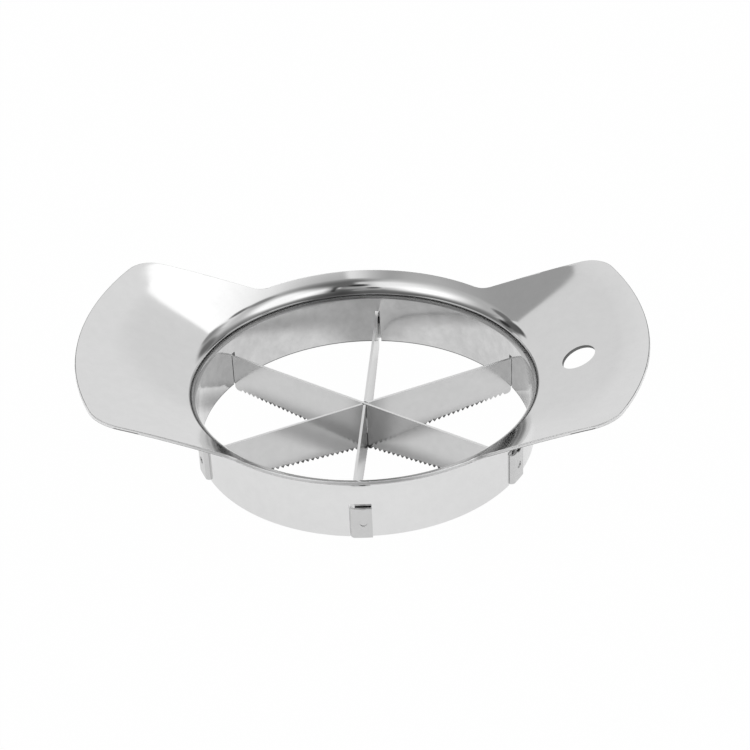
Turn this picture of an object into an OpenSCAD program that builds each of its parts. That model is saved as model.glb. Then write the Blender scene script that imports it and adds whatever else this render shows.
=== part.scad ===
// Orange cutter in stainless steel sheet.
// The body is one pressing: a shallow dish with two wings, rolled over into
// a short ring. Three serrated blades cross inside the ring and lock into
// each other at its centre, where they are deepest and reach below the ring.
// Their ends pass through slots in the ring wall, are bent round it as tabs
// and are spot welded there.
// The origin is on the axis of the ring, at the blades' lowest point.
// +X runs along the wings, towards the wing with the hanging hole.

/* [Ring] */
// Outside diameter of the ring wall
ring_d = 95; // [85:1:105]
// Height of the straight part of the ring wall
wall_h = 14.76; // [12:0.02:20]
// Thickness of the sheet of the body
sheet_t = 0.9; // [0.6:0.1:1.4]

/* [Dish] */
// Radius of the roll between ring wall and dish, on its upper face
lip_r = 6.4; // [4:0.1:9]
// Slope of the dish where it leaves the roll, in degrees
flare_a = 29.86; // [24:0.02:36]
// Radius of the crown of dish and wings along their slope
crown_r = 130; // [90:5:250]
// How far the rim between the wings reaches past the ring wall
rim_reach = 5.1; // [4:0.1:9]

/* [Wings] */
// How far each wing tip reaches past the ring wall
wing_reach = 31; // [27:1:40]
// Width of the wings, from front edge to rear edge
wing_w = 82.2; // [70:0.2:90]
// Radius of the outer corners of the wings
corner_r = 9.8; // [4:0.2:14]
// Radius of the hollow where a wing's edge runs into the rim
root_r = 8.2; // [4:0.2:12]
// Diameter of the hanging hole
hang_d = 9.8; // [5:0.2:14]
// Distance of the hanging hole from the wing's tip
hang_inset = 19.2; // [14:0.2:22]

/* [Blades] */
// Thickness of the blade strip
blade_t = 0.7; // [0.4:0.05:1]
// Height of a blade's ends, which pass through the wall and form the tabs
blade_h = 9.5; // [7:0.1:11]
// Height of the blade ends' lower edge above the ring's bottom edge
blade_lift = 0.4; // [0:0.1:1]
// How far the blades reach below the ring's bottom edge at their crossing
keel_drop = 5.2; // [3:0.1:7]
// How far the toothed edges reach below the ring's bottom edge at the wall
heel_drop = 1.6; // [1.2:0.1:2.6]
// Radius of a blade's lower corners, just inside the wall
heel_r = 1.2; // [0.6:0.1:1.6]
// How far the blades are turned against the wings, in degrees
blade_turn = -1.2; // [-3:0.1:3]
// Distance from one tooth to the next
tooth_pitch = 1.53; // [1:0.01:3]
// Depth of the teeth
tooth_h = 0.9; // [0.5:0.05:1.8]
// Length without teeth on each side of the crossing
hub_plain = 1.5; // [1.2:0.1:6]
// Length without teeth at the ring wall
wall_plain = 2.2; // [1.9:0.1:8]

/* [Tabs] */
// Length of a tab round the ring, from the bend to its free edge
tab_w = 4.6; // [3:0.1:8]
// Space between a tab and the ring wall, which the weld fills
tab_gap = 0.4; // [0.1:0.05:0.8]
// Inside radius of the bend of a tab
bend_r = 0.5; // [0.2:0.05:1]
// Space between a blade and the sides of its slot
slot_clear = 0.15; // [0.05:0.05:0.4]
// Height of a slot's top above the blade
slot_over = 0.8; // [0.3:0.1:2]
// Diameter of a spot weld
weld_d = 2; // [1:0.1:3]
// Depth of the dimple that the electrode leaves in a tab
dimple_h = 0.25; // [0.1:0.05:0.35]

/* [Hidden] */
$fn = 96;

// Space between the blades where they lock into each other
lap_clear = 0.15;
// Space between a blade's lower corner and the ring wall
heel_gap = 0.25;
// Width of the flat on a tooth's tip
tooth_flat = 0.12;
// Where the bottom of the gap between two teeth lies, as a share of the pitch
gullet_share = 0.3;
// Overrun of every cut past the face it goes through
over = 1;
// How far a rounding circle reaches past the faces that it joins, to cut them cleanly
meet = 0.003;

// Radii of ring, rim and wing tips about the axis of the ring
wall_or = ring_d / 2;
wall_ir = wall_or - sheet_t;
rim_r = wall_or + rim_reach;
tip_r = wall_or + wing_reach;
wing_y = wing_w / 2;

// Sheet section: centres of roll and crown, and the direction of their joint
joint_a = 90 + flare_a;
lip_c = [wall_ir + lip_r, wall_h];
crown_c = lip_c + (lip_r - crown_r) * dir(joint_a);

// Outline of the wings: centres of the outer corners and of the root hollows
corner_c = [sqrt(pow(tip_r - corner_r, 2) - pow(wing_y - corner_r, 2)), wing_y - corner_r];
corner_a = atan2(corner_c[1], corner_c[0]);
root_c = [sqrt(pow(rim_r + root_r, 2) - pow(wing_y + root_r, 2)), wing_y + root_r];

// Direction of the hanging hole's axis, square to the crown
hang_x = tip_r - hang_inset;
hang_a = acos((hang_x - crown_c[0]) / crown_r);

// Blade ends: radii of the tabs and centre of their bend
tab_ir = wall_or + tab_gap;
tab_or = tab_ir + blade_t;
bend_y = blade_t / 2 + bend_r;
bend_x = sqrt(pow(tab_ir - bend_r, 2) - pow(bend_y, 2));
bend_a = atan2(bend_y, bend_x);
tab_a = tab_w / wall_or * 180 / PI;
free_a = bend_a + tab_a;
blade_top = blade_lift + blade_h;

// Lower edge of a blade: its slope, its lower corner at the wall, and its ends
keel_a = atan2(keel_drop - heel_drop, wall_ir);
heel_x = wall_ir - heel_gap;
heel_c = [heel_x - heel_r, (heel_x - heel_r) * tan(keel_a) + heel_r / cos(keel_a)];
end_z = keel_drop + blade_lift;

// Crossing: each blade keeps one third of its height there
blade_count = 3;
blade_step = 180 / blade_count;
hub_h = end_z + blade_h;
lap_h = hub_h / blade_count;
lap_w = blade_t / sin(blade_step) + blade_t / tan(blade_step) + 2 * lap_clear;

// Directions of the blades about the ring's axis
cross_a = 90 + blade_turn;
left_a = cross_a + blade_step;
right_a = cross_a - blade_step;

// Places of the blades: direction, side of the tabs, and the third they keep
CROSS = [cross_a, -1, 1];
LEFT = [left_a, -1, blade_count - 1];
RIGHT = [right_a, 1, 0];

// Unit vector in the direction a
function dir(a) = [cos(a), sin(a)];

// Waste of a corner that is rounded about c, between the directions a0 and a1
module corner_waste(c, r, a0, a1) {
    reach = 2 * r / cos((a1 - a0) / 2);
    difference() {
        polygon([c, c + reach * dir(a0), c + reach * dir((a0 + a1) / 2), c + reach * dir(a1)]);
        translate(c) circle(r = r + meet);
    }
}

// All that lies under the sheet's upper face, or under a face that far inside it
module under_sheet(inset, low) {
    difference() {
        intersection() {
            translate(crown_c) circle(r = crown_r - inset, $fn = 360);
            translate([wall_ir + inset, low]) square([tip_r, crown_r]);
        }
        corner_waste(lip_c, lip_r - inset, joint_a, 180);
    }
}

// Section of the pressed sheet, from the ring's bottom edge to past the tips
module sheet_section() {
    difference() {
        under_sheet(0, 0);
        under_sheet(sheet_t, -over);
    }
}

// Both wings seen from above, cut to the circle of their tips
module wings_outline() {
    difference() {
        intersection() {
            circle(r = tip_r, $fn = 360);
            square([2 * (tip_r + over), wing_w], center = true);
        }
        for (mx = [0, 1], my = [0, 1])
            mirror([mx, 0]) mirror([0, my]) corner_waste(corner_c, corner_r, corner_a, 90);
    }
}

// Hollow that fills the corner between a wing's edge and the rim
module root_fillet() {
    difference() {
        polygon([[0, 0], [root_c[0], wing_y - over], [root_c[0], wing_y], root_c]);
        translate(root_c) circle(r = root_r + meet);
    }
}

// Outline of the whole sheet seen from above
module body_outline() {
    circle(r = rim_r, $fn = 360);
    wings_outline();
    for (mx = [0, 1], my = [0, 1])
        mirror([mx, 0]) mirror([0, my]) root_fillet();
}

// Slots at both ends of one blade, open at the ring's bottom edge
module blade_slots(place) {
    slot_lo = -blade_t / 2 - slot_clear;
    slot_w = blade_t + bend_r + 2 * slot_clear;
    rotate(place[0])
        for (end = [0, 1])
            mirror([end, 0, 0]) mirror([0, place[1] < 0 ? 1 : 0, 0])
                translate([wall_ir - over, slot_lo, -over])
                    cube([sheet_t + 2 * over, slot_w, over + blade_top + slot_over]);
}

// Pressed body: ring, rolled lip, dish and both wings in one sheet
module body() {
    color("silver") translate([0, 0, keel_drop])
        difference() {
            intersection() {
                rotate_extrude($fn = 360) sheet_section();
                translate([0, 0, -over]) linear_extrude(height = crown_r) body_outline();
            }
            translate([crown_c[0], 0, crown_c[1]]) rotate([0, 90 - hang_a, 0])
                translate([0, 0, crown_r - sheet_t - over])
                    cylinder(h = sheet_t + 2 * over, d = hang_d);
            blade_slots(CROSS);
            blade_slots(LEFT);
            blade_slots(RIGHT);
        }
}

// All that lies inside a blade's outer face, or inside a face that far in
module inside_blade(inset) {
    difference() {
        intersection() {
            circle(r = tab_or - inset, $fn = 360);
            translate([-tab_or, inset - blade_t / 2]) square(2 * tab_or);
        }
        for (end = [0, 1])
            mirror([end, 0]) corner_waste([bend_x, bend_y], bend_r + blade_t - inset, -90, bend_a);
    }
}

// A blade seen from above: strip, bends, and tabs up to their free edges
module blade_plan() {
    throat = blade_t / sin(free_a) * dir(free_a);
    end = 2 * tab_or * dir(free_a);
    difference() {
        inside_blade(0);
        inside_blade(blade_t);
        polygon([throat, end, [0, 2 * tab_or], [-end[0], end[1]], [-throat[0], throat[1]]]);
    }
}

// Gaps between the teeth of half a blade, pointing up from a level edge
module tooth_gaps() {
    room = wall_ir - hub_plain - wall_plain;
    count = floor(room / tooth_pitch);
    start = wall_ir - wall_plain - count * tooth_pitch;
    for (i = [0:count - 1])
        translate([start + i * tooth_pitch, 0])
            polygon([
                [tooth_flat, -over],
                [tooth_flat, 0],
                [tooth_pitch * (1 - gullet_share), tooth_h],
                [tooth_pitch, 0],
                [tooth_pitch, -over]
            ]);
}

// Waste below a blade, from the side: deepest at its ends, least at the crossing
module under_blade() {
    far = tab_or + over;
    heel_z = heel_x * tan(keel_a);
    polygon([
        [-far, -2 * over],
        [far, -2 * over],
        [far, end_z],
        [heel_x, end_z],
        [heel_x, heel_z],
        [0, 0],
        [-heel_x, heel_z],
        [-heel_x, end_z],
        [-far, end_z]
    ]);
    for (end = [0, 1])
        mirror([end, 0]) {
            corner_waste(heel_c, heel_r, keel_a - 90, 0);
            rotate(keel_a) tooth_gaps();
        }
}

// Notches that leave one third of the blade's height at the crossing
module lap_notches(kept) {
    for (third = [0:blade_count - 1])
        if (third != kept) {
            low = third * lap_h - (third == 0 ? over : lap_clear);
            high = (third + 1) * lap_h + (third == blade_count - 1 ? over : lap_clear);
            translate([-lap_w / 2, -blade_t, low]) cube([lap_w, 2 * blade_t, high - low]);
        }
}

// One blade with both tabs, along its own X and with its tabs towards +Y
module staple_blade(kept) {
    difference() {
        translate([0, 0, -over]) linear_extrude(height = over + hub_h) blade_plan();
        translate([0, tab_or, 0]) rotate([90, 0, 0])
            linear_extrude(height = 2 * tab_or) under_blade();
        lap_notches(kept);
        tab_places() translate([0, 0, tab_or - dimple_h])
            cylinder(h = dimple_h + over, d = weld_d);
    }
}

// Puts its child at the middle of both tabs of a blade, along the radius
module tab_places() {
    for (end = [0, 1])
        mirror([end, 0, 0])
            rotate(bend_a + tab_a / 2) translate([0, 0, end_z + blade_h / 2])
                rotate([0, 90, 0]) children();
}

// Turns its child to a blade's place in the ring
module at_place(place) {
    rotate(place[0]) mirror([0, place[1] < 0 ? 1 : 0, 0]) children();
}

// Blade from front to rear, square to the wings
module cross_blade() {
    color("lightgray") at_place(CROSS) staple_blade(CROSS[2]);
}

// Blade from rear left to front right
module left_blade() {
    color("lightgray") at_place(LEFT) staple_blade(LEFT[2]);
}

// Blade from front left to rear right
module right_blade() {
    color("lightgray") at_place(RIGHT) staple_blade(RIGHT[2]);
}

// Welds of one blade: metal that fills the space between tab and wall
module blade_welds() {
    intersection() {
        tab_places() cylinder(h = tab_or, d = weld_d);
        linear_extrude(height = hub_h)
            difference() {
                circle(r = tab_ir, $fn = 360);
                circle(r = wall_or, $fn = 360);
            }
    }
}

// Spot welds of all six tabs
module spot_welds() {
    color("gray")
        for (place = [CROSS, LEFT, RIGHT])
            at_place(place) blade_welds();
}

body();
cross_blade();
left_blade();
right_blade();
spot_welds();
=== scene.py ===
import math

import bpy
from mathutils import Matrix, Vector


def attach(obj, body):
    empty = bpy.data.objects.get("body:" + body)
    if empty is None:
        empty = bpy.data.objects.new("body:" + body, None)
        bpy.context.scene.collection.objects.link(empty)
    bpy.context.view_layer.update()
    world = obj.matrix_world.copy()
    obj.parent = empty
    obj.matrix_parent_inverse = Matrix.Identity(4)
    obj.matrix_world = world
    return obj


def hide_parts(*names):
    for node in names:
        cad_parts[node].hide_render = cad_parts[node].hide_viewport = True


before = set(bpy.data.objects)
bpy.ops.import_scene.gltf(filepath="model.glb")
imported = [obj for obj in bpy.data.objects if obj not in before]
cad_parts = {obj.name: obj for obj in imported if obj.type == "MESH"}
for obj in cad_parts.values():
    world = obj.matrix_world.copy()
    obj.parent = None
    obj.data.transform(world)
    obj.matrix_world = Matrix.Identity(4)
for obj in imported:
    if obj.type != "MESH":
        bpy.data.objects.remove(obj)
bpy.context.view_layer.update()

# The camera stands where the photographer stood, in front of the ring, a
# little to the right and above it. It is tilted a few degrees and aims at the
# middle of the ring's lower edge.
IMAGE_SIDE = 750
ring_low = 0.0052
camera_distance = 0.600
camera_elevation = math.radians(35.64)
camera_turn = math.radians(4.86)
camera_tilt = math.radians(2.83)
focal_pixels = 2121.6
aim_pixel = (366.2, 431.7)

toward_ring = Vector((
    -math.sin(camera_turn) * math.cos(camera_elevation),
    math.cos(camera_turn) * math.cos(camera_elevation),
    -math.sin(camera_elevation),
))
camera_data = bpy.data.cameras.new("photo_camera")
camera = bpy.data.objects.new("photo_camera", camera_data)
bpy.context.scene.collection.objects.link(camera)
level_camera = toward_ring.to_track_quat("-Z", "Y").to_matrix()
turned = level_camera @ Matrix.Rotation(-camera_tilt, 3, "Z")
camera_place = Vector((0, 0, ring_low)) - toward_ring * camera_distance
camera.matrix_world = Matrix.Translation(camera_place) @ turned.to_4x4()
camera_data.sensor_width = 36
camera_data.lens = camera_data.sensor_width * focal_pixels / IMAGE_SIDE
camera_data.shift_x = (IMAGE_SIDE / 2 - aim_pixel[0]) / IMAGE_SIDE
camera_data.shift_y = (aim_pixel[1] - IMAGE_SIDE / 2) / IMAGE_SIDE
bpy.context.scene.camera = camera
bpy.context.scene.view_settings.view_transform = "Standard"

# The table is a plain white board that the cutter stands on. The camera sees
# it white. In the steel it looks dimmer, and close beside the blades it has a
# painted shadow, for the light that the blades keep from it.
table_side = 8.0
table_sink = 0.0001
table_tone = 0.9
table_glow_seen = 0.99
table_glow_in_steel = 0.75
table_glow_in_ring = 0.82
painted_blade_shadow_glow = 0.24
ring_shade = (0.044, 0.052)
blade_shade = (0.001, 0.0075)
blade_turns = {"cross": 88.8, "left": 148.8, "right": 28.8}
shade_shift = {"cross": 0.003, "left": 0.002, "right": 0.0}


def work_on(tree):
    """Open a node tree, so that the helpers below add their nodes to it."""
    global nodes, links
    nodes, links = tree.nodes, tree.links


def feed(socket, value):
    """Give a socket a number or vector of its own, or another node's output."""
    if isinstance(value, (int, float, tuple)):
        socket.default_value = value
    else:
        links.new(value, socket)


def maths(operation, *values):
    """One step of arithmetic on numbers and outputs."""
    step = nodes.new("ShaderNodeMath")
    step.operation = operation
    for socket, value in zip(step.inputs, values):
        feed(socket, value)
    return step.outputs[0]


def vectors(operation, *values):
    """One step of vector arithmetic. It has the outputs Vector and Value."""
    step = nodes.new("ShaderNodeVectorMath")
    step.operation = operation
    for socket, value in zip(step.inputs, values):
        feed(socket, value)
    return step.outputs


def fade(value, start, end):
    """0 at start and 1 at end, with a soft change between."""
    band = nodes.new("ShaderNodeMapRange")
    band.interpolation_type = "SMOOTHSTEP"
    band.inputs["From Min"].default_value = start
    band.inputs["From Max"].default_value = end
    links.new(value, band.inputs["Value"])
    return band.outputs["Result"]


def both(first, second):
    """Where two masks overlap."""
    return maths("MULTIPLY", first, second)


def laid_over(under, value, mask):
    """A value with another one over it, where the mask is 1."""
    layer = nodes.new("ShaderNodeMix")
    feed(layer.inputs[2], under)
    feed(layer.inputs[3], value)
    feed(layer.inputs[0], mask)
    return layer.outputs[0]


bpy.ops.object.select_all(action="DESELECT")
bpy.ops.mesh.primitive_plane_add(size=table_side, location=(0, 0, -table_sink))
table_top = bpy.context.object
table_top.name = "table_top"
table_paint = bpy.data.materials.new("white_table")
table_paint.use_nodes = True
work_on(table_paint.node_tree)
nodes.clear()
out = nodes.new("ShaderNodeOutputMaterial")
blend = nodes.new("ShaderNodeMixShader")
matt = nodes.new("ShaderNodeBsdfDiffuse")
matt.inputs["Color"].default_value = (table_tone, table_tone, table_tone, 1)
glow = nodes.new("ShaderNodeEmission")
glow.inputs["Strength"].default_value = 1.0
path = nodes.new("ShaderNodeLightPath")
seen = maths("MULTIPLY", path.outputs["Is Camera Ray"], table_glow_seen)
mirrored = maths("MAXIMUM", path.outputs["Is Glossy Ray"], path.outputs["Is Transmission Ray"])
table_place = nodes.new("ShaderNodeTexCoord").outputs["Object"]
from_blades = []
for name, turn in blade_turns.items():
    across = (-math.sin(math.radians(turn)), math.cos(math.radians(turn)), 0)
    off_line = vectors("DOT_PRODUCT", table_place, across)["Value"]
    from_blades.append(maths("ABSOLUTE", maths("SUBTRACT", off_line, shade_shift[name])))
nearest = maths("MINIMUM", maths("MINIMUM", from_blades[0], from_blades[1]), from_blades[2])
from_axis = vectors("LENGTH", table_place)["Value"]
# Painted shadow: the glow that the steel sees drops beside the blades
mirrored_glow = laid_over(painted_blade_shadow_glow, table_glow_in_ring, fade(nearest, *blade_shade))
mirrored_glow = laid_over(mirrored_glow, table_glow_in_steel, fade(from_axis, *ring_shade))
links.new(maths("MULTIPLY_ADD", mirrored, mirrored_glow, seen), blend.inputs["Fac"])
links.new(matt.outputs[0], blend.inputs[1])
links.new(glow.outputs[0], blend.inputs[2])
links.new(blend.outputs[0], out.inputs["Surface"])
table_top.data.materials.append(table_paint)

# The tent round the table is white cloth. Light panels shine through its front
# and its right side, the left side is dimmer, and the camera looks in through
# a dark slit at the front. Polished steel shows all of it.
backdrop_light = 0.77
backdrop_middle_light = 1.09 * backdrop_light
overhead_light = 0.735
panel_light = 1.3
left_side_light = 0.38
front_low_light = 0.25
gap_light = 0.04
seam_height = 40.9
seam_sag = -0.27
seam_drop = -0.038

tent = bpy.data.worlds.new("photo_tent")
bpy.context.scene.world = tent
tent.use_nodes = True
work_on(tent.node_tree)
nodes.clear()
look = nodes.new("ShaderNodeTexCoord").outputs["Generated"]


def facing(turn, height):
    """How far a direction points to this turn (90 is right, 180 front) and height."""
    turn, height = math.radians(turn), math.radians(height)
    return vectors("DOT_PRODUCT", look, (
        math.sin(turn) * math.cos(height),
        math.cos(turn) * math.cos(height),
        math.sin(height),
    ))["Value"]


def sine(angle):
    return math.sin(math.radians(angle))


def panel(turns, turn_blur, heights, height_blur):
    """A panel between two turns and two heights, each of its sides with its own blur."""
    first = fade(facing(turns[0] + 90, 0), sine(-turn_blur[0]), sine(turn_blur[0]))
    last = fade(facing(turns[1] - 90, 0), sine(-turn_blur[1]), sine(turn_blur[1]))
    low = fade(upward, sine(heights[0] - height_blur[0]), sine(heights[0] + height_blur[0]))
    high = fade(upward, sine(heights[1] + height_blur[1]), sine(heights[1] - height_blur[1]))
    return both(both(first, last), both(low, high))


def round_area(turn, height, inner, outer):
    """A round area about a direction, full inside the inner angle."""
    angles = [math.cos(math.radians(angle)) for angle in (outer, inner)]
    return fade(facing(turn, height), *angles)


upward = facing(0, 90)
frontward = facing(180, 0)
leftward = facing(270, 0)
rightward = facing(90, 0)
rearward = facing(345, 0)
sideways = both(rightward, rightward)

# The backdrop hangs at the rear, and its upper seam sags towards the sides
seam = maths("MULTIPLY_ADD", sideways, seam_sag, facing(180, seam_height))
above_backdrop = fade(seam, seam_drop - sine(0.5), seam_drop + sine(0.5))
light = laid_over(backdrop_light, backdrop_middle_light, fade(sideways, 0.09, 0.03))
light = laid_over(light, overhead_light, above_backdrop)
right_panel = both(fade(rightward, sine(-3), sine(7)), fade(rearward, sine(-8), sine(4)))
left_side = both(fade(leftward, sine(0), sine(9)), fade(rearward, sine(-30), sine(-5)))
front_low = both(fade(frontward, sine(-4), sine(14)), fade(upward, sine(33), sine(23)))
for level, area in (
    (panel_light, both(right_panel, above_backdrop)),
    (left_side_light, both(left_side, above_backdrop)),
    (front_low_light, front_low),
    # Soft cloth in front, to the right and to the left, dim near its top
    (0.60, panel((66, 179), (20, 4), (17, 89), (16, 3))),
    (0.51, panel((192, 292), (2, 8), (24, 82), (6, 7))),
    (0.14, panel((101, 200), (20, 7), (43, 89), (6, 3))),
    # The front panels, two to the right of the camera and two to its left
    (1.9, panel((104, 153), (17, 3), (24, 47), (4, 15))),
    (1.2, panel((102, 136), (10, 10), (20, 58), (6, 12))),
    (1.0, panel((182, 248), (7, 20), (36, 74), (5, 15))),
    (1.5, panel((204, 247), (14, 20), (23, 46), (12, 13))),
    # The slit for the camera, and the small light and dark things in it
    (0.10, panel((146, 178), (20, 16), (3, 44), (7, 15))),
    (0.75, panel((173, 186), (2, 4), (56, 66), (3, 4))),
    (0.40, panel((166, 178), (3, 3), (33, 41), (3, 3))),
    (0.45, panel((171, 190), (2, 2), (21.5, 25), (2, 2))),
    (0.12, round_area(185, 34, 2, 6)),
    (gap_light, round_area(175, 48.5, 3, 6.5)),
    (gap_light, panel((156, 159), (0.8, 0.8), (26, 49), (3, 4))),
    (0.70, panel((160, 162), (0.8, 0.8), (38, 45), (2, 3))),
    # The dim foot of the tent, to the right and to the left
    (0.26, panel((55, 100), (8, 10), (-10, 21), (2, 8))),
    (0.22, panel((257, 294), (8, 5), (-10, 20), (2, 6))),
    # Folds and gaps of the right side, then of the left side
    (0.36, panel((47, 66), (5, 6), (8, 43), (5, 3))),
    (0.18, round_area(67, 51, 2, 7)),
    (0.27, round_area(52, 35, 2, 7)),
    (0.17, round_area(58, 17, 4, 12)),
    (0.28, round_area(82, 57, 3, 9)),
    (0.18, round_area(287, 35, 4, 9)),
    (0.10, round_area(297, 26, 4, 9)),
    (0.12, round_area(290, 22, 5, 10)),
    (gap_light, round_area(281, 16, 3, 7)),
    (0.72, round_area(292, 4.8, 2, 6)),
    # The dark gap between tent and table, to the right and to the left
    (0.08, both(fade(upward, sine(8), sine(4)), fade(rightward, 0.82, 0.92))),
    (0.08, both(fade(upward, sine(3), sine(1)), fade(leftward, 0.85, 0.95))),
):
    light = laid_over(light, level, area)

# The camera sees the tent as plain white
path = nodes.new("ShaderNodeLightPath")
light = laid_over(light, 1.0, path.outputs["Is Camera Ray"])
sky = nodes.new("ShaderNodeBackground")
sky.inputs["Color"].default_value = (1, 1, 1, 1)
links.new(light, sky.inputs["Strength"])
out = nodes.new("ShaderNodeOutputWorld")
links.new(sky.outputs[0], out.inputs["Surface"])

# The body is one sheet of polished stainless steel, 0.9 mm thick, drawn in a
# press: a short ring, rolled over into a crowned dish with two wings. It is
# sheared to its outline square to the sheet, and the hanging hole is punched.
sheet = 0.0009
ring_inner = 0.0466
wall_height = 0.01476
wall_top = ring_low + wall_height
roll = 0.0064
roll_middle = (ring_inner + roll, wall_top)
roll_end = math.radians(119.86)
crown = 0.130
crown_middle = (
    roll_middle[0] + (roll - crown) * math.cos(roll_end),
    roll_middle[1] + (roll - crown) * math.sin(roll_end),
)
tip_reach = 0.07825
rim_reach = 0.0522
wing_half = 0.04098
corner = 0.0097
hollow = 0.0083
corner_y = wing_half - corner
corner_middle = (math.sqrt((tip_reach - corner) ** 2 - corner_y ** 2), corner_y)
corner_start = math.atan2(corner_middle[1], corner_middle[0])
hollow_y = wing_half + hollow
hollow_middle = (math.sqrt((rim_reach + hollow) ** 2 - hollow_y ** 2), hollow_y)
hollow_end = math.atan2(hollow_middle[1], hollow_middle[0])
tip_steps, corner_steps, straight_steps, hollow_steps, rim_steps = 28, 16, 26, 10, 40
roll_steps = 20
slope_cuts = 14
drawing_height = 0.05
same_place = 0.00001


def one_point(name, place):
    """A new mesh of one selected point, left open in edit mode."""
    bpy.ops.object.select_all(action="DESELECT")
    bpy.ops.mesh.primitive_plane_add(size=0.001, location=place)
    piece = bpy.context.object
    piece.name = name
    bpy.ops.object.transform_apply(location=True, rotation=True, scale=True)
    bpy.ops.object.mode_set(mode="EDIT")
    bpy.ops.mesh.select_mode(type="VERT")
    bpy.ops.mesh.select_all(action="SELECT")
    bpy.ops.mesh.merge(type="CENTER")
    return piece


def slope_height(reach):
    """Height of the crowned slope at this distance from the ring's axis."""
    return crown_middle[1] + math.sqrt(crown**2 - (reach - crown_middle[0]) ** 2)


# A die of the crowned slope, a little more than a quarter turn of it
die_start, die_end = roll_middle[0] + roll * math.cos(roll_end) + 0.00002, 0.0800
slope_turn = [math.acos((reach - crown_middle[0]) / crown) for reach in (die_start, die_end)]
die_spare = math.radians(2)
die = one_point("slope_die", (die_start, 0, slope_height(die_start)))
bpy.ops.mesh.spin(
    steps=64, angle=slope_turn[0] - slope_turn[1],
    center=(crown_middle[0], 0, crown_middle[1]), axis=(0, -1, 0),
)
bpy.ops.mesh.select_all(action="SELECT")
bpy.ops.transform.rotate(value=die_spare, orient_axis="Z", center_override=(0, 0, 0))
bpy.ops.mesh.spin(
    steps=376, angle=math.pi / 2 + 2 * die_spare, center=(0, 0, 0), axis=(0, 0, -1),
)
bpy.ops.object.mode_set(mode="OBJECT")

# A quarter of the outline, drawn from the middle of the tip to the rear rim
body = one_point("pressed_body", (tip_reach, 0, drawing_height))
bpy.ops.mesh.spin(steps=tip_steps, angle=corner_start, center=(0, 0, 0), axis=(0, 0, -1))
bpy.ops.mesh.spin(
    steps=corner_steps, angle=math.pi / 2 - corner_start,
    center=(*corner_middle, 0), axis=(0, 0, -1),
)
step = (hollow_middle[0] - corner_middle[0]) / straight_steps
for _ in range(straight_steps):
    bpy.ops.mesh.extrude_region_move(TRANSFORM_OT_translate={"value": (step, 0, 0)})
bpy.ops.mesh.spin(
    steps=hollow_steps, angle=math.pi / 2 - hollow_end,
    center=(*hollow_middle, 0), axis=(0, 0, 1),
)
bpy.ops.mesh.spin(
    steps=rim_steps, angle=math.pi / 2 - hollow_end, center=(0, 0, 0), axis=(0, 0, -1),
)
bpy.ops.object.mode_set(mode="OBJECT")
outline_count = len(body.data.vertices)

# A quarter of the ring's section, from the bottom of the wall to the end of the roll
wall = one_point("ring_quarter", (ring_inner, 0, ring_low))
bpy.ops.mesh.spin(
    steps=outline_count - 1, angle=math.pi / 2, center=(0, 0, 0), axis=(0, 0, -1),
)
bpy.ops.mesh.select_all(action="SELECT")
profile = [(ring_inner, ring_low), (ring_inner, wall_top)]
for i in range(1, roll_steps + 1):
    turn = math.pi - (math.pi - roll_end) * i / roll_steps
    profile.append((roll_middle[0] + roll * math.cos(turn), roll_middle[1] + roll * math.sin(turn)))
for before, after in zip(profile, profile[1:]):
    bpy.ops.mesh.extrude_region_move(TRANSFORM_OT_translate={"value": (0, 0, after[1] - before[1])})
    growth = after[0] / before[0]
    bpy.ops.transform.resize(value=(growth, growth, 1), center_override=(0, 0, 0))
bpy.ops.object.mode_set(mode="OBJECT")

# Both are joined and bridged, and the bridge is dropped onto the die
bpy.ops.object.select_all(action="DESELECT")
wall.select_set(True)
body.select_set(True)
bpy.context.view_layer.objects.active = body
bpy.ops.object.join()
bpy.ops.object.mode_set(mode="EDIT")
bpy.ops.mesh.select_mode(type="EDGE")
bpy.ops.mesh.select_all(action="DESELECT")
bpy.ops.object.mode_set(mode="OBJECT")
for edge in body.data.edges:
    ends = [body.data.vertices[i].co for i in edge.vertices]
    on_outline = all(end.z > drawing_height - 0.001 for end in ends)
    on_roll_end = all(abs(end.z - profile[-1][1]) < same_place for end in ends)
    edge.select = on_outline or on_roll_end
bpy.ops.object.mode_set(mode="EDIT")
bpy.ops.mesh.bridge_edge_loops(number_cuts=slope_cuts, interpolation="LINEAR")
bpy.ops.object.mode_set(mode="OBJECT")
settle = body.modifiers.new("settle", "SHRINKWRAP")
settle.target = die
settle.wrap_method = "PROJECT"
settle.use_project_z = True
settle.use_positive_direction = True
settle.use_negative_direction = True
bpy.ops.object.modifier_apply(modifier="settle")
bpy.data.objects.remove(die)


def new_group(name, given, results):
    """A node group with named inputs and outputs, opened for the helpers."""
    group = bpy.data.node_groups.new(name, "ShaderNodeTree")
    for socket, kind in given.items():
        group.interface.new_socket(socket, in_out="INPUT", socket_type=kind)
    for socket in results:
        group.interface.new_socket(socket, in_out="OUTPUT", socket_type="NodeSocketFloat")
    work_on(group)
    return group, nodes.new("NodeGroupInput").outputs, nodes.new("NodeGroupOutput").inputs


def placed(group, **given):
    """A group put into the open finish, and what it gives out."""
    node = nodes.new("ShaderNodeGroup")
    node.node_tree = group
    for name, value in given.items():
        feed(node.inputs[name], value)
    return node.outputs


def noise(place, scale, detail=2.0, rough=0.5, stretch=None):
    """Soft random variation over the surface, drawn out along an axis where asked."""
    if stretch is not None:
        mapping = nodes.new("ShaderNodeMapping")
        feed(mapping.inputs["Scale"], stretch)
        links.new(place, mapping.inputs["Vector"])
        place = mapping.outputs["Vector"]
    texture = nodes.new("ShaderNodeTexNoise")
    texture.inputs["Scale"].default_value = scale
    texture.inputs["Detail"].default_value = detail
    texture.inputs["Roughness"].default_value = rough
    links.new(place, texture.inputs["Vector"])
    return texture.outputs["Fac"]


def xyz(vector):
    """A vector's three parts, by the names X, Y and Z."""
    apart = nodes.new("ShaderNodeSeparateXYZ")
    links.new(vector, apart.inputs[0])
    return apart.outputs


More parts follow.
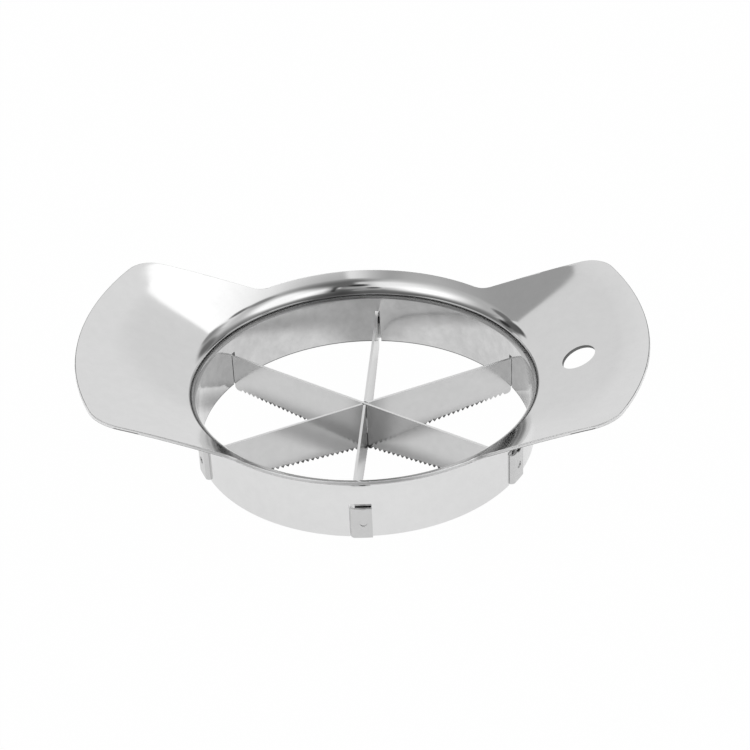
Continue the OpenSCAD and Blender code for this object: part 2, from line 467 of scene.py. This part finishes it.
# Polish as the buffing wheel leaves it: a surface that is nearly even, with
# slow waves of the pressed sheet, hair scratches and faint finger haze
steel_polish, given, result = new_group(
    "steel_polish",
    {"Place": "NodeSocketVector", "Roughness": "NodeSocketFloat", "Haze": "NodeSocketFloat"},
    ("Roughness", "Waves", "Shade"),
)
haze = noise(given["Place"], 55.0, 3.0)
hairs = noise(given["Place"], 900.0, 3.0, stretch=(1.0, 0.06, 1.0))
hazed = maths("MULTIPLY_ADD", haze, given["Haze"], given["Roughness"])
links.new(maths("MULTIPLY_ADD", hairs, 0.02, hazed), result["Roughness"])
slow = noise(given["Place"], 75.0, 1.0)
quick = noise(given["Place"], 420.0, 1.0)
links.new(maths("MULTIPLY_ADD", quick, 0.07, slow), result["Waves"])
links.new(laid_over(haze, noise(given["Place"], 330.0, 3.0, 0.6), 0.6), result["Shade"])

# Grain that drawing leaves up the ring's wall, and rolling along the blades
drawn_grain, given, result = new_group(
    "drawn_grain", {"Place": "NodeSocketVector", "Stretch": "NodeSocketVector"}, ("Lines",),
)
links.new(noise(given["Place"], 1400.0, stretch=given["Stretch"]), result["Lines"])
grain_depth = 0.0000012
grain_upright = (1.0, 1.0, 0.02)
grain_lengthwise = (0.02, 1.0, 1.0)


def relief(height, depth, inverted=False):
    """Add relief to the open finish, on top of the relief that it has."""
    normal = nodes["Principled BSDF"].inputs["Normal"]
    bump = nodes.new("ShaderNodeBump")
    bump.invert = inverted
    bump.inputs["Strength"].default_value = 1.0
    bump.inputs["Distance"].default_value = depth
    links.new(height, bump.inputs["Height"])
    if normal.is_linked:
        links.new(normal.links[0].from_socket, bump.inputs["Normal"])
    links.new(bump.outputs[0], normal)


def grained(way):
    """Add the grain to the open finish, along this way."""
    place = nodes["Mapping"].outputs["Vector"]
    relief(placed(drawn_grain, Place=place, Stretch=way)["Lines"], grain_depth)


def toned(mask, tone):
    """Give the open finish another tone where the mask is 1."""
    base = nodes["Principled BSDF"].inputs["Base Color"]
    layer = nodes.new("ShaderNodeMix")
    layer.data_type = "RGBA"
    layer.inputs[7].default_value = (tone, tone, tone, 1)
    links.new(mask, layer.inputs[0])
    links.new(base.links[0].from_socket, layer.inputs[6])
    links.new(layer.outputs[2], base)


def steel(name, tone, rough, haze, wave_depth, turn=0.0, mottled=0.06):
    """A bare steel finish. It stays open, so that grain and marks can be added."""
    material = bpy.data.materials.new(name)
    material.use_nodes = True
    work_on(material.node_tree)
    shader = nodes["Principled BSDF"]
    shader.inputs["Metallic"].default_value = 1.0
    look = nodes.new("ShaderNodeTexCoord")
    mapping = nodes.new("ShaderNodeMapping")
    mapping.inputs["Rotation"].default_value = (0, 0, -turn)
    links.new(look.outputs["Object"], mapping.inputs["Vector"])
    polish = placed(
        steel_polish, Place=mapping.outputs["Vector"], Roughness=rough, Haze=haze,
    )
    links.new(polish["Roughness"], shader.inputs["Roughness"])
    shade = nodes.new("ShaderNodeMix")
    shade.data_type = "RGBA"
    shade.inputs[6].default_value = (*[tone * (1 - mottled)] * 3, 1)
    shade.inputs[7].default_value = (*[tone * (1 + mottled)] * 3, 1)
    links.new(polish["Shade"], shade.inputs[0])
    links.new(shade.outputs[2], shader.inputs["Base Color"])
    relief(polish["Waves"], wave_depth)
    return material


# Near the tips the wings are a little flatter than the crown. The roll gets
# painted shade: a darker tone where it rises from the wall.
crease_reach, crease_blur, crease_slope = 0.070, 0.0022, 0.052
polished_steel = steel("polished_steel", 0.8, 0.035, 0.04, 0.00001)
place = nodes["Texture Coordinate"].outputs["Object"]
reach = vectors("LENGTH", vectors("MULTIPLY", place, (1, 1, 0))["Vector"])["Value"]
height = xyz(place)["Z"]
relief(maths("SMOOTH_MAX", reach, crease_reach, crease_blur), crease_slope, inverted=True)
from_bend = nodes.new("ShaderNodeCombineXYZ")
links.new(maths("SUBTRACT", reach, roll_middle[0]), from_bend.inputs["X"])
links.new(maths("SUBTRACT", height, roll_middle[1]), from_bend.inputs["Z"])
bend_distance = vectors("LENGTH", from_bend.outputs[0])["Value"]
upper_side = fade(bend_distance, roll - 0.0005, roll - 0.0003)
low_bend = both(
    fade(height, wall_top + 0.0036, wall_top + 0.0022), fade(height, wall_top - 0.0002, wall_top),
)
# Painted shade on the roll, low on its bend above the wall
toned(both(both(upper_side, low_bend), fade(reach, 0.0502, 0.0496)), 0.46)
# The sheared and torn finishes are real bands of the cut edge, and also the painted highlight and
# painted shade of the rounded edges
sheared_edge_and_highlight = steel("sheared_edge_and_highlight", 0.92, 0.3, 0.12, 0.00001)
torn_edge_and_shade = steel("torn_edge_and_shade", 0.22, 0.45, 0.15, 0.00003)

# The wall is duller from the drawing die, and its lower edge is dark
drawn_wall = steel("drawn_wall", 0.65, 0.06, 0.08, 0.000016, mottled=0.3)
grained(grain_upright)
height = xyz(nodes["Texture Coordinate"].outputs["Object"])["Z"]
toned(fade(height, ring_low + 0.0004, ring_low + 0.0002), 0.1)
POLISHED, SHEARED_AND_HIGHLIGHT, TORN_AND_SHADE, DRAWN = range(4)
for finish in (polished_steel, sheared_edge_and_highlight, torn_edge_and_shade, drawn_wall):
    body.data.materials.append(finish)

# The quarter is mirrored to the whole sheet, which gets its thickness
mirror = body.modifiers.new("other_quarters", "MIRROR")
mirror.use_axis = (True, True, False)
mirror.merge_threshold = same_place
bpy.ops.object.modifier_apply(modifier="other_quarters")
bpy.ops.object.mode_set(mode="EDIT")
bpy.ops.mesh.select_mode(type="VERT")
bpy.ops.mesh.select_all(action="SELECT")
bpy.ops.mesh.remove_doubles(threshold=same_place / 2)
bpy.ops.mesh.normals_make_consistent(inside=False)
bpy.ops.object.mode_set(mode="OBJECT")
if max(body.data.polygons, key=lambda face: face.center.z).normal.z < 0:
    body.data.flip_normals()
thickness = body.modifiers.new("thickness", "SOLIDIFY")
thickness.thickness = sheet
thickness.offset = -1
thickness.use_even_offset = True
thickness.material_offset_rim = SHEARED_AND_HIGHLIGHT
bpy.ops.object.modifier_apply(modifier="thickness")

# The sheared edge has three bands: the lowest third is torn and dark
torn_depth = 0.62 * sheet
bpy.ops.object.mode_set(mode="EDIT")
bpy.ops.mesh.select_mode(type="EDGE")
bpy.ops.mesh.select_all(action="DESELECT")
bpy.ops.object.mode_set(mode="OBJECT")
edge_faces = {}
for face in body.data.polygons:
    for key in face.edge_keys:
        edge_faces.setdefault(key, []).append(face.material_index)
for edge in body.data.edges:
    edge.select = edge_faces[tuple(sorted(edge.vertices))] == [SHEARED_AND_HIGHLIGHT, SHEARED_AND_HIGHLIGHT]
bpy.ops.object.mode_set(mode="EDIT")
bpy.ops.mesh.subdivide(number_cuts=2)
bpy.ops.object.mode_set(mode="OBJECT")
for face in body.data.polygons:
    reach = math.hypot(face.center.x, face.center.y)
    if face.material_index == SHEARED_AND_HIGHLIGHT and reach > roll_middle[0]:
        if slope_height(reach) - face.center.z > torn_depth:
            face.material_index = TORN_AND_SHADE

# Its edges are rounded a little, as polishing leaves them. They get a painted
# highlight towards the front and round the ring's bottom, painted shade elsewhere.
rounding = body.modifiers.new("rounding", "BEVEL")
rounding.limit_method = "ANGLE"
rounding.angle_limit = math.radians(50)
rounding.width = 0.00013
rounding.segments = 3
rounding.use_clamp_overlap = False
rounding.material = TORN_AND_SHADE
bpy.ops.object.modifier_apply(modifier="rounding")
for face in body.data.polygons:
    faces_front = face.normal.y < -0.2 and face.normal.z > 0.2
    at_ring_bottom = face.center.z < ring_low + 0.001
    if face.material_index == TORN_AND_SHADE and (faces_front or at_ring_bottom):
        face.material_index = SHEARED_AND_HIGHLIGHT

# One punch for the hanging hole and six for the slots of the blades
hole_radius = 0.0049
hole_lean = math.radians(-25.145)
hole_middle = (0.0594912, 0, 0.0300447)
hole_punch = 0.004
slot_low, slot_top = 0.0030, 0.0159
slot_wide, slot_off = 0.0015, 0.00025
slot_reach, slot_deep = 0.0470, 0.0030
bent_side = {"cross": -1, "left": -1, "right": 1}
bpy.ops.object.select_all(action="DESELECT")
bpy.ops.mesh.primitive_cylinder_add(
    vertices=96, radius=hole_radius, depth=hole_punch,
    location=hole_middle, rotation=(0, hole_lean, 0),
)
punches = bpy.context.object
bpy.ops.object.transform_apply(location=True, rotation=True, scale=True)
pieces = [punches]
for name, turn in blade_turns.items():
    for end in (-1, 1):
        local = Vector((
            end * slot_reach, bent_side[name] * slot_off, (slot_low + slot_top) / 2,
        ))
        bpy.ops.mesh.primitive_cube_add(
            size=1, location=Matrix.Rotation(math.radians(turn), 3, "Z") @ local,
            rotation=(0, 0, math.radians(turn)),
            scale=(slot_deep, slot_wide, slot_top - slot_low),
        )
        pieces.append(bpy.context.object)
        bpy.ops.object.transform_apply(location=True, rotation=True, scale=True)
bpy.ops.object.select_all(action="DESELECT")
for piece in pieces:
    piece.select_set(True)
bpy.context.view_layer.objects.active = punches
bpy.ops.object.join()
for finish in (polished_steel, sheared_edge_and_highlight, torn_edge_and_shade):
    punches.data.materials.append(finish)
for face in punches.data.polygons:
    in_hole = face.center.z > slot_top + 0.001
    face.material_index = TORN_AND_SHADE if in_hole else SHEARED_AND_HIGHLIGHT
bpy.ops.object.select_all(action="DESELECT")
body.select_set(True)
bpy.context.view_layer.objects.active = body
punched = body.modifiers.new("punched", "BOOLEAN")
punched.operation = "DIFFERENCE"
punched.solver = "EXACT"
punched.object = punches
bpy.ops.object.modifier_apply(modifier="punched")
bpy.data.objects.remove(punches)
bpy.ops.object.shade_smooth_by_angle(angle=math.radians(35))
weighted = body.modifiers.new("weighted", "WEIGHTED_NORMAL")
weighted.mode = "FACE_AREA"
weighted.keep_sharp = True
bpy.ops.object.modifier_apply(modifier="weighted")
for face in body.data.polygons:
    reach = math.hypot(face.center.x, face.center.y)
    on_wall = reach < ring_inner + 0.0003 and face.center.z < wall_top + 0.0002
    on_lower_edge = reach < ring_inner + 0.0002 and face.center.z < ring_low + 0.0003
    if (on_wall and face.material_index == POLISHED) or on_lower_edge:
        face.material_index = DRAWN
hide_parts("body")
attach(body, "root")

# The three blades are strips of brushed stainless steel, 0.7 mm thick, with
# cut teeth. Their ends are bent round the wall and spot welded to it. The top
# of each tab is painted darker, as painted shade of the gap behind the tab.
keel_slope = 0.0772
teeth_end = (0.0385, 0.0375)
burr_height = (0.0017, 0.0011)
burr_raggedness = 0.0014
burr_tone = 0.1
top_edge_highlight_tone, top_edge_rough = 0.84, 0.4
# Painted shade at the top of each tab, darkest on the left and right blades
tab_shade_middle = (0.04837, 0.0032, 0.01035 + ring_low)
tab_shade_edge = (0.0011, 0.0007)
tab_shade_tone = {"cross": 0.6, "left": 0.08, "right": 0.08}

# Dark burr over the teeth, a painted highlight on the rounded top edges, and
# painted shade at the top of each tab. A blade is folded at its middle here,
# and its tabs to one side.
blade_marks, given, result = new_group(
    "blade_marks",
    {"Place": "NodeSocketVector", "Facing": "NodeSocketVector", "Side": "NodeSocketFloat"},
    ("Burr", "Top Edge", "Tab Shade"),
)
along = xyz(given["Place"])
from_middle = maths("ABSOLUTE", along["X"])
above_keel = maths("MULTIPLY_ADD", from_middle, -keel_slope, along["Z"])
ragged = noise(given["Place"], 1500.0)
raised = maths("MULTIPLY_ADD", ragged, burr_raggedness, above_keel)
links.new(both(fade(raised, *burr_height), fade(from_middle, *teeth_end)), result["Burr"])
links.new(fade(xyz(given["Facing"])["Z"], 0.5, 0.8), result["Top Edge"])
folded = nodes.new("ShaderNodeCombineXYZ")
links.new(from_middle, folded.inputs["X"])
links.new(both(along["Y"], given["Side"]), folded.inputs["Y"])
links.new(along["Z"], folded.inputs["Z"])
from_tab_shade = vectors("DISTANCE", folded.outputs[0], tab_shade_middle)["Value"]
links.new(fade(from_tab_shade, *tab_shade_edge), result["Tab Shade"])

for name, turn in blade_turns.items():
    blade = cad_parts[name + "_blade"]
    blade_steel = steel(
        name + "_blade_steel", 0.65, 0.12, 0.08, 0.000006, math.radians(turn), mottled=0.1,
    )
    grained(grain_lengthwise)
    surface = nodes.new("ShaderNodeNewGeometry")
    marks = placed(
        blade_marks, Place=nodes["Mapping"].outputs["Vector"],
        Facing=surface.outputs["Normal"], Side=bent_side[name],
    )
    toned(marks["Burr"], burr_tone)
    # Painted highlight: the upward top edges get a lighter tone
    toned(marks["Top Edge"], top_edge_highlight_tone)
    # Painted shade at the top of each tab
    toned(marks["Tab Shade"], tab_shade_tone[name])
    # The top edges are dull, so they catch the panels on both sides
    rough = nodes["Principled BSDF"].inputs["Roughness"]
    duller = laid_over(rough.links[0].from_socket, top_edge_rough, marks["Top Edge"])
    links.new(duller, rough)
    blade.data.materials.clear()
    blade.data.materials.append(blade_steel)

# The six spot welds are short discs of steel that melted between a tab and the
# ring's wall. They hold the blades, and they are dark and dull.
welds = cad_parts["spot_welds"]
welds.data.materials.clear()
welds.data.materials.append(steel("weld_steel", 0.25, 0.5, 0.15, 0.00003))
